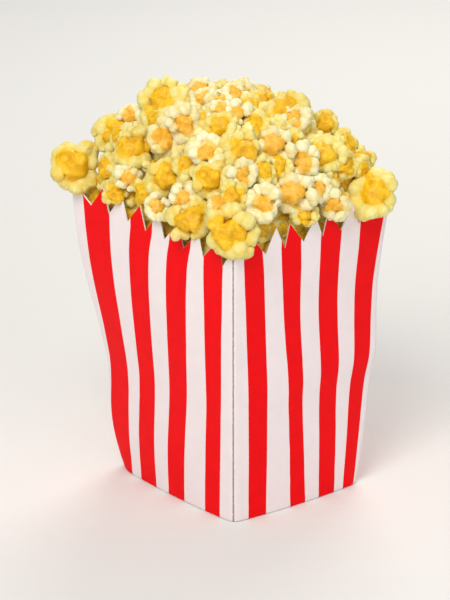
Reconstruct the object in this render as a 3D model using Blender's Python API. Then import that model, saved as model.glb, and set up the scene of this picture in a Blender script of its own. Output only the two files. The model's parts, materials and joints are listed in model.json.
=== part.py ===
"""A striped paperboard tub with a zigzag rim, heaped with popcorn. Metres, +Z up.

The origin is the middle of the tub's underside. The tub's faces look along X and Y, and its front
corner is at +X, -Y. Corners and faces are numbered anticlockwise from above: corner 0 is the left
one, 1 the front, 2 the right and 3 the back, and face N runs from corner N to the next.
"""

import math
import random
from collections import namedtuple

import bmesh
import bpy
from mathutils import Matrix, Vector

MM = 0.001

# The tub, to the outside of its board
RIM_X = 0.1318
RIM_Y = 0.1177
BASE_X = 0.1058
BASE_Y = 0.0945
RIM_Z = 0.1634
BOARD = 0.8 * MM
FLOOR_TOP = 1.6 * MM
BASE_CHAMFER = 1.2 * MM

# The zigzag: valleys at RIM_Z, moved by so much at the two ends of each face. The blank is cut a
# little off centre, so each face has its first valley and its pitch, in eighths of its width
STRIPES = 8
TOOTH = 14.0 * MM
CORNER_TOOTH = 11.0 * MM
RIM_ENDS_MM = ((5.5, -4.5), (-0.8, 1.8), (1.0, 0.5), (0.5, 5.0))
FIRST_VALLEY = (1.06, 0.62, 0.5, 0.5)
VALLEY_PITCH = (0.925, 0.965, 1.0, 0.96)
# How far a tooth's tip leans along its face, in stripes: red ones, then white ones
TOOTH_LEAN = ((0.25, 0.25), (-0.3, 0.0), (0.25, 0.1), (-0.2, 0.1))

# The wear of a handled tub: how far a corner stands out on its diagonal, in mm, by share of height
CORNER_SIGNS = ((-1, -1), (1, -1), (1, 1), (-1, 1))
CORNER_SWAY = (
    ((0.0, 0.0), (0.18, 0.4), (0.41, -1.5), (0.53, 0.3), (0.76, 5.3), (0.9, 6.8), (1.1, 6.2)),
    ((0.0, 0.0), (1.1, 0.0)),
    ((0.0, 2.6), (0.2, 2.4), (0.4, 1.8), (0.5, 2.9), (0.66, 0.2), (0.8, -1.4), (1.1, -0.6)),
    ((0.0, 0.0), (0.5, 1.0), (1.1, 0.0)),
)
FACE_OUTWARD = ((0, -1), (1, 0), (0, 1), (-1, 0))
BELLY = 2.5 * MM
RIM_BELLY = 0.8 * MM
FOLD_RADIUS = 2.0 * MM
LEAST_RADIUS = 0.5 * MM
# The corners are rounder at the foot, up to a share of the height
BASE_ROUNDING_MM = (12.0, 4.0, 6.0, 5.0)
ROUNDING_SHARE = 0.22
# The right corner's foot is pushed towards the front, up to a share of the height
PUSHED_CORNER = 2
FOOT_PUSH = Vector((4.0 * MM, -3.4 * MM))
FOOT_PUSH_SHARE = 0.5

# The mesh of the tub: heights of its rows as shares of RIM_Z, and the strip beside each fold
WALL_ROWS = (0.06, 0.14, 0.22, 0.32, 0.42, 0.52, 0.64, 0.78, 0.92)
CUTTER_ROWS = (0.64, 0.78, 0.92)
FOLD_STRIP = 0.012

# The heap: a dome whose outline goes from round at the peak to square at the rim
FRONT_BEARING = -41.0
HEAP_X = 0.0655
HEAP_Y = 0.0585
HEAP_BASE = 0.178
HEAP_RISE = 0.052
HEAP_POWER = 3.0
# The power of the superellipse at the peak, what the rim adds, and how late it comes
PEAK_SQUARENESS = 2.2
RIM_SQUARENESS = 12.0
SQUARING_POWER = 4
PEAK_SHIFT = Vector((-5.8 * MM, -6.6 * MM))
LEFT_BEARING = -90.0
LEFT_FLARE = 6.0 * MM
LEFT_FLARE_WIDTH = 22.0
# The steps over which the dome's slope is measured
REACH_STEP = 0.02
BEARING_STEP = 2.0
# The core under the flakes, clear of the wall, with fewer columns than the wall has
CORE_GAP = 1.0 * MM
CORE_COLUMNS = (0, 1, 2, 6, 12, 16, 17)
CORE_SINK = 3.0 * MM
CORE_REACHES = (0.9, 0.74, 0.55, 0.3)
# The gap that flakes keep to the wall they lean on
RIM_CLEARANCE = 0.4 * MM

# Popped flakes by tier: reach from the peak (0) to the rim (1), then bearing and radius in mm
BUTTER_TIERS = (
    (0.99, ((-98, 16.0), (-75, 8.0), (-20, 12.5), (-2, 16.5), (34, 8.0), (74, 15.5), (106, 11.5))),
    (0.88, ((-110, 8.5), (-42, 11.5), (0, 9.0), (84, 8.5))),
    (0.79, ((-100, 12.5), (-76, 12.5), (-28, 8.0), (28, 8.0), (64, 11.5), (86, 8.5))),
    (0.68, ((6, 11.5), (88, 8.5))),
    (0.50, ((-96, 13.5), (-112, 12.0), (66, 13.0))),
)
WHITE_TIERS = (
    (0.99, ((-42, 7.5), (52, 8.0))),
    (0.92, ((-70, 8.0), (-24, 8.0), (-4, 7.5), (10, 10.0), (30, 11.0), (46, 7.0))),
    (0.80, ((4, 7.5), (44, 10.0))),
    (0.70, ((-100, 8.0), (-54, 10.5), (-12, 10.0), (28, 10.0))),
    (0.57, ((-42, 10.0), (62, 8.0))),
    (0.42, ((-6, 6.5), (12, 6.0))),
    (0.30, ((-36, 7.0), (-8, 5.0))),
    (0.18, ((-92, 6.5), (66, 7.0), (30, 7.0))),
)
# Buttery flakes are sunk in by a share of their radius, and white ones lie on top
BUTTER_LIFT = 0.3
WHITE_LIFT = 5.0 * MM
# Fillers wind outwards by the golden angle, slimmer near the peak, wherever there is room
SEED = 11
GOLDEN_ANGLE = 137.508
FILLER_TRIES = 420
FILLER_REACH = 0.97
BUTTER_RADII_MM = (8.5, 13.5)
WHITE_RADII_MM = (6.5, 9.5)
WHITE_SHARE = 0.42
PEAK_SLIMMING = 0.35
ROOM_ALIKE = 0.85
ROOM_MIXED = 0.62

# A flake: a ball whose twelve poles swell into lobes or sink into creases
POLE = (0.66, 1.22)
BETWEEN = (0.84, 1.04)
FLAKE_DEPTH = 0.82
# Small flakes have the poles alone
SMALL_FLAKE = 7.6 * MM
SMALL_POLE = (0.86, 1.16)

Column = namedtuple("Column", "face along top_along top_z is_tip")
Flake = namedtuple("Flake", "butter centre normal radius")


def smooth_curve(keys, x):
    """The value at x of a smooth curve through (x, value) keys."""
    x = min(max(x, keys[0][0]), keys[-1][0])
    index = next(i for i in range(len(keys) - 1) if x <= keys[i + 1][0])
    before, start, end, after = (keys[min(max(i, 0), len(keys) - 1)] for i in range(index - 1, index + 3))
    span = end[0] - start[0]
    t = (x - start[0]) / span
    slope_in = (end[1] - before[1]) / (end[0] - before[0]) * span
    slope_out = (after[1] - start[1]) / (after[0] - start[0]) * span
    return (
        start[1] * (1 + 2 * t) * (1 - t) ** 2
        + slope_in * t * (1 - t) ** 2
        + end[1] * t * t * (3 - 2 * t)
        - slope_out * t * t * (1 - t)
    )


def mix(start, end, share):
    """The value at a share of the way from start to end."""
    return start + (end - start) * share


def corner_point(corner, share, inset):
    """The sharp corner of the tub's plan at a share of its height."""
    sign = Vector(CORNER_SIGNS[corner % 4])
    half = Vector((mix(BASE_X, RIM_X, share), mix(BASE_Y, RIM_Y, share))) / 2
    sway = smooth_curve(CORNER_SWAY[corner % 4], share) * MM / math.sqrt(2)
    point = sign * half + sign * sway - sign * inset
    if corner % 4 == PUSHED_CORNER:
        point += FOOT_PUSH * max(0.0, 1 - share / FOOT_PUSH_SHARE) ** 2
    return point


def corner_pull(corner, share, distance, inset):
    """How the fold at a corner draws in a point that lies so far from it along a face."""
    fade = max(0.0, 1 - share / ROUNDING_SHARE) ** 2
    radius = mix(FOLD_RADIUS, BASE_ROUNDING_MM[corner % 4] * MM, fade) - inset
    depth = (math.sqrt(2) - 1) * max(radius, LEAST_RADIUS)
    reach = 2 * math.sqrt(2) * depth
    if distance >= reach:
        return Vector((0, 0))
    inward = -Vector(CORNER_SIGNS[corner % 4]) / math.sqrt(2)
    return inward * depth * (1 - distance / reach) ** 2


def wall_point(face, along, z, inset=0.0):
    """A point of the tub's wall: along runs from 0 to 1 between the face's two corners."""
    share = z / RIM_Z
    start = corner_point(face, share, inset)
    end = corner_point(face + 1, share, inset)
    width = (end - start).length
    belly = mix(BELLY, RIM_BELLY, min(max(share, 0.0), 1.0) ** 3)
    point = start.lerp(end, along) + Vector(FACE_OUTWARD[face]) * belly * 4 * along * (1 - along)
    point += corner_pull(face, share, along * width, inset)
    point += corner_pull(face + 1, share, (1 - along) * width, inset)
    return Vector((point.x, point.y, z))


def rim_level(face, along):
    """The height of the zigzag's valleys."""
    start, end = RIM_ENDS_MM[face]
    return RIM_Z + mix(start, end, along) * MM


def corner_tip(corner):
    """The height of the tooth that wraps a corner."""
    level = (rim_level(corner % 4, 0.0) + rim_level((corner - 1) % 4, 1.0)) / 2
    return level + CORNER_TOOTH


def valley_place(face, number):
    """How far along its face a valley of the zigzag lies."""
    return (FIRST_VALLEY[face] + number * VALLEY_PITCH[face]) / STRIPES


def face_columns(face):
    """The mesh columns of one face, from its first corner up to just before its last."""
    first = valley_place(face, 0)
    last = valley_place(face, STRIPES - 1)
    strip_top = mix(corner_tip(face), rim_level(face, first), FOLD_STRIP / first)
    columns = [Column(face, 0.0, 0.0, corner_tip(face), False)]
    columns.append(Column(face, FOLD_STRIP, FOLD_STRIP, strip_top, False))
    for number in range(STRIPES):
        valley = valley_place(face, number)
        columns.append(Column(face, valley, valley, rim_level(face, valley), False))
        if number < STRIPES - 1:
            middle = valley_place(face, number + 0.5)
            tip = middle + TOOTH_LEAN[face][number % 2] / STRIPES
            columns.append(Column(face, middle, tip, rim_level(face, tip) + TOOTH, True))
    strip_top = mix(corner_tip(face + 1), rim_level(face, last), FOLD_STRIP / (1 - last))
    columns.append(Column(face, 1 - FOLD_STRIP, 1 - FOLD_STRIP, strip_top, False))
    return columns


def wall_columns():
    """The mesh columns of all four faces."""
    return [column for face in range(4) for column in face_columns(face)]


def wall_loop(bm, columns, z, inset):
    """A loop of vertices round the wall at one height."""
    return [bm.verts.new(wall_point(c.face, c.along, z, inset)) for c in columns]


def wall_side(bm, shares, inset, raised=0.0):
    """The loops up one side of the wall, and the loop of all points along its zigzag."""
    columns = wall_columns()
    plain = [column for column in columns if not column.is_tip]
    loops = [wall_loop(bm, plain, share * RIM_Z, inset) for share in shares]
    zigzag = [bm.verts.new(wall_point(c.face, c.top_along, c.top_z + raised, inset)) for c in columns]
    loops.append([vert for vert, column in zip(zigzag, columns) if not column.is_tip])
    return loops, zigzag


def teeth(bm, zigzag, outside):
    """The triangle of each tooth, above the line that joins its two valleys."""
    for i, column in enumerate(wall_columns()):
        if column.is_tip:
            corners = (zigzag[i - 1], zigzag[i + 1], zigzag[i])
            bm.faces.new(corners if outside else corners[::-1])


def board_shell(bm, shares, outer_inset, inner_inset, raised=0.0):
    """The wall from an outer to an inner inset with its zigzag edge, as loops up and down again."""
    outer_loops, outer_zigzag = wall_side(bm, shares, outer_inset, raised)
    inner_loops, inner_zigzag = wall_side(bm, shares, inner_inset, raised)
    skin(bm, outer_loops)
    skin(bm, inner_loops[::-1])
    skin(bm, [outer_zigzag, inner_zigzag])
    teeth(bm, outer_zigzag, True)
    teeth(bm, inner_zigzag, False)
    return outer_loops[0], inner_loops[0]


def skin(bm, loops):
    """Faces between each loop and the next, outwards where the loops climb the outside."""
    for lower, upper in zip(loops, loops[1:]):
        count = len(lower)
        for i in range(count):
            j = (i + 1) % count
            bm.faces.new((lower[i], lower[j], upper[j], upper[i]))


def cap(bm, loop, centre, upward):
    """A fan of triangles that closes a loop."""
    middle = bm.verts.new(centre)
    for i, vert in enumerate(loop):
        after = loop[(i + 1) % len(loop)]
        bm.faces.new((vert, after, middle) if upward else (after, vert, middle))


def finish_mesh(bm, name):
    """An object in the scene made from a bmesh."""
    mesh = bpy.data.meshes.new(name)
    bm.to_mesh(mesh)
    bm.free()
    thing = bpy.data.objects.new(name, mesh)
    bpy.context.scene.collection.objects.link(thing)
    return thing


def make_tub():
    """The folded tub: outer wall, zigzag edge, inner wall and floor."""
    bm = bmesh.new()
    outer, inner = board_shell(bm, WALL_ROWS, 0.0, BOARD)
    columns = [column for column in wall_columns() if not column.is_tip]
    underside = wall_loop(bm, columns, 0.0, BASE_CHAMFER)
    floor = wall_loop(bm, columns, FLOOR_TOP, BOARD)
    skin(bm, [underside, wall_loop(bm, columns, BASE_CHAMFER, 0.0), outer])
    skin(bm, [inner, floor])
    cap(bm, underside, Vector((0, 0, 0)), False)
    cap(bm, floor, Vector((0, 0, FLOOR_TOP)), True)
    return finish_mesh(bm, "bucket")


def make_rim_cutter():
    """The tub's upper wall with a clearance all round, to trim the flakes that lean on it."""
    bm = bmesh.new()
    outer, inner = board_shell(bm, CUTTER_ROWS, -RIM_CLEARANCE, BOARD + RIM_CLEARANCE, 2 * RIM_CLEARANCE)
    skin(bm, [inner, outer])
    return finish_mesh(bm, "rim_cutter")


def heap_plan(bearing, reach):
    """The plan point at a bearing from the front corner and a reach from the peak to the rim."""
    angle = math.radians(FRONT_BEARING + bearing)
    power = PEAK_SQUARENESS + RIM_SQUARENESS * min(reach, 1.0) ** SQUARING_POWER
    across = Vector((math.cos(angle), math.sin(angle)))
    spread = (abs(across.x / HEAP_X) ** power + abs(across.y / HEAP_Y) ** power) ** (-1 / power)
    off_left = (bearing - LEFT_BEARING + 180) % 360 - 180
    flare = LEFT_FLARE * math.exp(-((off_left / LEFT_FLARE_WIDTH) ** 2)) * reach**3
    return across * (spread * reach + flare) + PEAK_SHIFT * (1 - reach)


def heap_point(bearing, reach):
    """A point on the heap's dome."""
    plan = heap_plan(bearing, reach)
    return Vector((plan.x, plan.y, HEAP_BASE + HEAP_RISE * (1 - reach**HEAP_POWER)))


def heap_normal(bearing, reach):
    """The way that the dome faces at a place."""
    inner = heap_point(bearing, reach - REACH_STEP)
    outer = heap_point(bearing, reach + REACH_STEP)
    round_it = heap_point(bearing + BEARING_STEP, reach) - heap_point(bearing - BEARING_STEP, reach)
    return (outer - inner).cross(round_it).normalized()


def make_flake_place(butter, bearing, reach, radius_mm):
    """Where a flake lies on the dome: buttery ones sunk in by their size, white ones on top."""
    radius = radius_mm * MM
    normal = heap_normal(bearing, reach)
    lift = BUTTER_LIFT * radius if butter else WHITE_LIFT
    return Flake(butter, heap_point(bearing, reach) + normal * lift, normal, radius)


def has_room(flake, others):
    """Whether a filler keeps its distance from the flakes already laid."""
    for other in others:
        room = ROOM_ALIKE if flake.butter == other.butter else ROOM_MIXED
        if (flake.centre - other.centre).length < room * (flake.radius + other.radius):
            return False
    return True


def lay_flakes():
    """All the flakes that show: the chosen tiers first, then fillers where there is room."""
    flakes = [
        make_flake_place(butter, bearing, reach, radius)
        for butter, tiers in ((True, BUTTER_TIERS), (False, WHITE_TIERS))
        for reach, tier in tiers
        for bearing, radius in tier
    ]
    draw = random.Random(SEED)
    for i in range(FILLER_TRIES):
        butter = draw.random() > WHITE_SHARE
        low, high = BUTTER_RADII_MM if butter else WHITE_RADII_MM
        reach = math.sqrt((i + 0.5) / FILLER_TRIES) * FILLER_REACH
        radius = draw.uniform(low, high) * (1 - PEAK_SLIMMING * (1 - reach))
        flake = make_flake_place(butter, i * GOLDEN_ANGLE, reach, radius)
        if has_room(flake, flakes):
            flakes.append(flake)
    return flakes


def make_flake(index, flake, draw):
    """One popped flake: a ball of swollen lobes with creases between them."""
    bm = bmesh.new()
    small = flake.radius < SMALL_FLAKE
    bmesh.ops.create_icosphere(bm, subdivisions=1 if small else 2, radius=1.0)
    pole = SMALL_POLE if small else POLE
    for vert in bm.verts:
        is_pole = len(vert.link_edges) == 5
        vert.co *= draw.uniform(*(pole if is_pole else BETWEEN))
    spin = Matrix.Rotation(draw.uniform(0, 2 * math.pi), 4, "Z")
    turn = flake.normal.to_track_quat("Z", "Y").to_matrix().to_4x4()
    size = Matrix.Diagonal((flake.radius, flake.radius, flake.radius * FLAKE_DEPTH, 1.0))
    bm.transform(Matrix.Translation(flake.centre) @ turn @ size @ spin)
    return finish_mesh(bm, f"flake_{index}")


def make_core():
    """The packed popcorn inside the tub, up to a low dome under the flakes."""
    bm = bmesh.new()
    columns = [face_columns(face)[i] for face in range(4) for i in CORE_COLUMNS]
    inset = BOARD + CORE_GAP
    heights = [FLOOR_TOP + CORE_GAP] + [share * RIM_Z for share in WALL_ROWS]
    loops = [wall_loop(bm, columns, z, inset) for z in heights]
    for reach in CORE_REACHES:
        loop = []
        for vert in loops[len(heights) - 1]:
            bearing = math.degrees(math.atan2(vert.co.y, vert.co.x)) - FRONT_BEARING
            loop.append(bm.verts.new(heap_point(bearing, reach) - Vector((0, 0, CORE_SINK))))
        loops.append(loop)
    skin(bm, loops)
    cap(bm, loops[0], Vector((0, 0, heights[0])), False)
    cap(bm, loops[-1], heap_point(0.0, 0.0) - Vector((0, 0, CORE_SINK)), True)
    return finish_mesh(bm, "popcorn")


def apply_boolean(thing, operation, solver, **operand):
    """Apply one Boolean to an object."""
    boolean = thing.modifiers.new("boolean", "BOOLEAN")
    boolean.operation = operation
    boolean.solver = solver
    for name, value in operand.items():
        setattr(boolean, name, value)
    evaluated = thing.evaluated_get(bpy.context.evaluated_depsgraph_get())
    mesh = bpy.data.meshes.new_from_object(evaluated)
    thing.modifiers.clear()
    thing.data = mesh


def keep_largest_piece(thing):
    """Drop the loose scraps of a mesh, and the walls of hollows sealed inside it."""
    bm = bmesh.new()
    bm.from_mesh(thing.data)
    left = set(bm.verts)
    pieces = []
    while left:
        piece = set()
        front = [left.pop()]
        while front:
            vert = front.pop()
            piece.add(vert)
            near = {edge.other_vert(vert) for edge in vert.link_edges} & left
            left -= near
            front.extend(near)
        pieces.append(piece)
    pieces.sort(key=len)
    scraps = [vert for piece in pieces[:-1] for vert in piece]
    bmesh.ops.delete(bm, geom=scraps, context="VERTS")
    bm.to_mesh(thing.data)
    bm.free()


def make_popcorn():
    """The heap: the core with every flake fused on, trimmed where flakes lean on the rim."""
    popcorn = make_core()
    draw = random.Random(SEED + 1)
    pile = bpy.data.collections.new("pile")
    bpy.context.scene.collection.children.link(pile)
    for index, flake in enumerate(lay_flakes()):
        thing = make_flake(index, flake, draw)
        bpy.context.scene.collection.objects.unlink(thing)
        pile.objects.link(thing)
    apply_boolean(popcorn, "UNION", "EXACT", operand_type="COLLECTION", collection=pile)
    for thing in list(pile.objects):
        bpy.data.objects.remove(thing)
    bpy.data.collections.remove(pile)
    cutter = make_rim_cutter()
    apply_boolean(popcorn, "DIFFERENCE", "EXACT", object=cutter)
    bpy.data.objects.remove(cutter)
    keep_largest_piece(popcorn)
    return popcorn


def paint(thing, name, colour, roughness):
    """Give an object its own Principled material."""
    material = bpy.data.materials.new(name)
    material.use_nodes = True
    shader = material.node_tree.nodes["Principled BSDF"]
    shader.inputs["Base Color"].default_value = (*colour, 1.0)
    shader.inputs["Roughness"].default_value = roughness
    shader.inputs["Metallic"].default_value = 0.0
    thing.data.materials.clear()
    thing.data.materials.append(material)


def main():
    """Build the tub and its heap."""
    for thing in list(bpy.data.objects):
        bpy.data.objects.remove(thing)
    paint(make_tub(), "printed_board", (0.78, 0.02, 0.02), 0.45)
    paint(make_popcorn(), "popped_corn", (0.93, 0.8, 0.42), 0.7)


main()
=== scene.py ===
"""The looks of a striped paperboard tub heaped with popcorn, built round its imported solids.

Metres, +Z up, in the frame's own axes. The tub's corners are numbered anticlockwise as seen from
above, and face N runs from corner N to the next.
"""

import json
import logging
import math
import random
from collections.abc import Mapping, Sequence
from dataclasses import dataclass, field
from enum import Enum, IntEnum
from typing import Any, NamedTuple

import bmesh
import bpy
import numpy as np
from mathutils import Euler, Matrix, Vector, noise

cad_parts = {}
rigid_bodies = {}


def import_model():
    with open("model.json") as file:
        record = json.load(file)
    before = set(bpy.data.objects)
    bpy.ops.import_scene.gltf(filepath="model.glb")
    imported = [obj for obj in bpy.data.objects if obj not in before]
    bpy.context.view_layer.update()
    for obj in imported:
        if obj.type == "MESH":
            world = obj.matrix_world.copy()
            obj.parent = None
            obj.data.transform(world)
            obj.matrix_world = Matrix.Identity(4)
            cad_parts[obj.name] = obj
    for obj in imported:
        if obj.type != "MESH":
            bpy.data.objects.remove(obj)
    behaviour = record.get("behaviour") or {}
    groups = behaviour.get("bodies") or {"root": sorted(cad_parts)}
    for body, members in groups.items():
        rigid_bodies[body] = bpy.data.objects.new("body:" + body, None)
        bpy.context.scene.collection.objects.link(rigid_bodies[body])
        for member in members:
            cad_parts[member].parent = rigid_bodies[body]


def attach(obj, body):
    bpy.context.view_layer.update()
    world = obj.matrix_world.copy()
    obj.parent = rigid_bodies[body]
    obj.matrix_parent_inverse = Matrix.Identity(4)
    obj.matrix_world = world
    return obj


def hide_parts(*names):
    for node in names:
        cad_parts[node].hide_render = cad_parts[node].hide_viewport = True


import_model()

MM = 0.001
LOG = logging.getLogger("popcorn_tub")

Colour = tuple[float, float, float]
Keys = tuple[tuple[float, float], ...]
Loop = list[bmesh.types.BMVert]


class Corner(IntEnum):
    """The tub's corners as the picture shows them, and the faces that start there."""

    LEFT = 0
    FRONT = 1
    RIGHT = 2
    BACK = 3


class BoardSlot(IntEnum):
    """The material slots of the board."""

    PRINTED = 0
    RAW = 1


class Kind(Enum):
    """The two kinds of flake that show."""

    BUTTER = "butter"
    WHITE = "white"


FACES = len(Corner)


def mix(start: float, end: float, share: float) -> float:
    """The value at a share of the way from start to end."""
    return start + (end - start) * share


def ease(value: float) -> float:
    """A smooth step from 0 to 1, held outside that range."""
    value = min(max(value, 0.0), 1.0)
    return value * value * (3 - 2 * value)


def linear(red: int, green: int, blue: int) -> Colour:
    """The linear colour of a printed or food colour named in 8-bit sRGB.

    Args:
        red: 0 to 255.
        green: 0 to 255.
        blue: 0 to 255.

    Returns:
        The same colour in the renderer's linear space.
    """
    toe, slope, offset, power = 0.04045, 12.92, 0.055, 2.4
    shares = (channel / 255 for channel in (red, green, blue))
    return tuple(s / slope if s <= toe else ((s + offset) / (1 + offset)) ** power for s in shares)


def smooth_curve(keys: Keys, x: float) -> float:
    """The value at x of a smooth curve through keys.

    Args:
        keys: Pairs of place and value, in order.
        x: Where to read the curve.

    Returns:
        The value, held before the first key and after the last.
    """
    x = min(max(x, keys[0][0]), keys[-1][0])
    index = next(i for i in range(len(keys) - 1) if x <= keys[i + 1][0])
    before, start, end, after = (keys[min(max(i, 0), len(keys) - 1)] for i in range(index - 1, index + 3))
    span = end[0] - start[0]
    t = (x - start[0]) / span
    slope_in = (end[1] - before[1]) / (end[0] - before[0]) * span
    slope_out = (after[1] - start[1]) / (after[0] - start[0]) * span
    return (
        start[1] * (1 + 2 * t) * (1 - t) ** 2
        + slope_in * t * (1 - t) ** 2
        + end[1] * t * t * (3 - 2 * t)
        - slope_out * t * t * (1 - t)
    )


def link_mesh(bm: bmesh.types.BMesh, name: str) -> bpy.types.Object:
    """Turn a bmesh into a smooth object of the scene.

    Args:
        bm: The mesh, freed here.
        name: The piece's name.

    Returns:
        The new object, at the origin.
    """
    mesh = bpy.data.meshes.new(name)
    bm.to_mesh(mesh)
    bm.free()
    mesh.shade_smooth()
    thing = bpy.data.objects.new(name, mesh)
    bpy.context.scene.collection.objects.link(thing)
    return thing


def skin(bm: bmesh.types.BMesh, loops: list[Loop], slot: int = 0) -> None:
    """Faces between each closed loop of points and the next.

    Args:
        bm: The mesh.
        loops: The loops, alike in their number of points.
        slot: The faces' material slot.
    """
    for lower, upper in zip(loops, loops[1:]):
        for i in range(len(lower)):
            j = (i + 1) % len(lower)
            bm.faces.new((lower[i], lower[j], upper[j], upper[i])).material_index = slot


def bake_modifiers(thing: bpy.types.Object) -> None:
    """Replace an object's mesh by what its modifiers make of it, and drop them.

    Args:
        thing: The object.
    """
    graph = bpy.context.evaluated_depsgraph_get()
    evaluated = thing.evaluated_get(graph)
    mesh = bpy.data.meshes.new_from_object(evaluated, preserve_all_data_layers=True, depsgraph=graph)
    thing.modifiers.clear()
    spare = thing.data
    thing.data = mesh
    mesh.name = thing.name
    bpy.data.meshes.remove(spare)


def write_points(mesh: bpy.types.Mesh, name: str, values: np.ndarray) -> None:
    """Store one number, or one vector, for each point of a mesh.

    Args:
        mesh: The mesh.
        name: The attribute's name.
        values: One row for each vertex.
    """
    is_vector = values.ndim == 2
    kind, key = ("FLOAT_VECTOR", "vector") if is_vector else ("FLOAT", "value")
    layer = mesh.attributes.new(name, kind, "POINT")
    layer.data.foreach_set(key, values.astype(np.float32).ravel())


def read_points(mesh: bpy.types.Mesh, key: str = "co") -> np.ndarray:
    """What a mesh's vertices hold, one row each.

    Args:
        mesh: The mesh.
        key: "co" for their places, "normal" for the way they face.

    Returns:
        The rows.
    """
    values = np.empty(len(mesh.vertices) * 3, np.float32)
    mesh.vertices.foreach_get(key, values)
    return values.reshape(-1, 3).astype(float)


def move_points(mesh: bpy.types.Mesh, places: np.ndarray) -> None:
    """Move a mesh's vertices to new places, one row each."""
    mesh.vertices.foreach_set("co", places.astype(np.float32).ravel())
    mesh.update()


def dress(thing: bpy.types.Object, finish: bpy.types.Material) -> None:
    """Give a whole piece one finish.

    Args:
        thing: The piece.
        finish: The material.
    """
    mesh = thing.data
    mesh.materials.clear()
    mesh.materials.append(finish)
    mesh.polygons.foreach_set("material_index", np.zeros(len(mesh.polygons), np.int32))


class Signal:
    """A number that varies over a surface, so that shader maths reads as an expression."""

    def __init__(self, bench: "Bench", socket: bpy.types.NodeSocket) -> None:
        """Wrap one output socket of a bench's material."""
        self.bench = bench
        self.socket = socket

    def _math(self, operation: str, *values: Any, clamp: bool = False) -> "Signal":
        """The output of one Math node on the given values."""
        settings = {"operation": operation, "use_clamp": clamp}
        return self.bench.signal("ShaderNodeMath", settings, dict(enumerate(values)))

    def __add__(self, other: Any) -> "Signal":
        """Sum."""
        return self._math("ADD", self, other)

    __radd__ = __add__

    def __mul__(self, other: Any) -> "Signal":
        """Product."""
        return self._math("MULTIPLY", self, other)

    __rmul__ = __mul__

    def __sub__(self, other: Any) -> "Signal":
        """Difference."""
        return self._math("SUBTRACT", self, other)

    def __rsub__(self, other: Any) -> "Signal":
        """Difference the other way round."""
        return self._math("SUBTRACT", other, self)

    def __truediv__(self, other: Any) -> "Signal":
        """Quotient."""
        return self._math("DIVIDE", self, other)

    def sine(self) -> "Signal":
        """Sine of the number, in radians."""
        return self._math("SINE", self)

    def held(self) -> "Signal":
        """The number, held between 0 and 1."""
        return self._math("ADD", self, 0.0, clamp=True)

    def above(self, level: float, softness: float) -> "Signal":
        """A soft mask of where the number is above a level.

        Args:
            level: The middle of the step.
            softness: The width of the step.

        Returns:
            0 below, 1 above.
        """
        return ((self - level) / softness + 0.5).held()


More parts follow.
